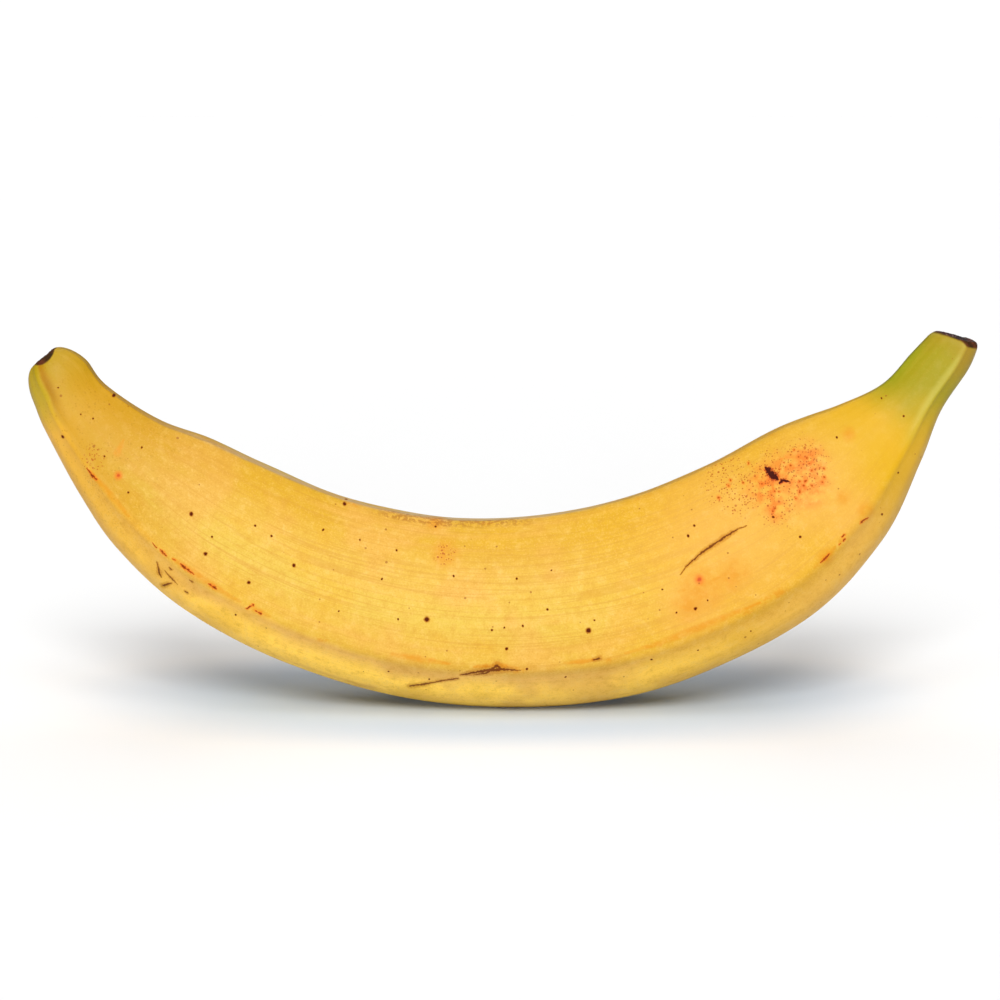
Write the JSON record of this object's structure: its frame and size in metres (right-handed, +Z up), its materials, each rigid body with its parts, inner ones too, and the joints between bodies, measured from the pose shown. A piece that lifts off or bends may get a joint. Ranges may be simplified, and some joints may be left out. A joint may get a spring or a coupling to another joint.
{
  "type": "plantain",
  "caption": "Whole ripe plantain: a long curved yellow fruit with blunt lengthwise ridges, a short green stem stub and a dark flower-end scar, standing on its belly.",
  "frame": {"origin": "on the surface the fruit rests on, under the middle of its box", "axes": "+X along the fruit's length towards the stem, -Y the side with the fuller face, +Z up"},
  "size_m": [0.235, 0.0446, 0.094],
  "materials": {
    "peel": "ripe yellow peel with a soft satin sheen, small dark freckles, brown scuffs along the ridges, a green stem and dark ends"
  },
  "bodies": {
    "root": {"plantain": "peel"}
  },
  "joints": []
}
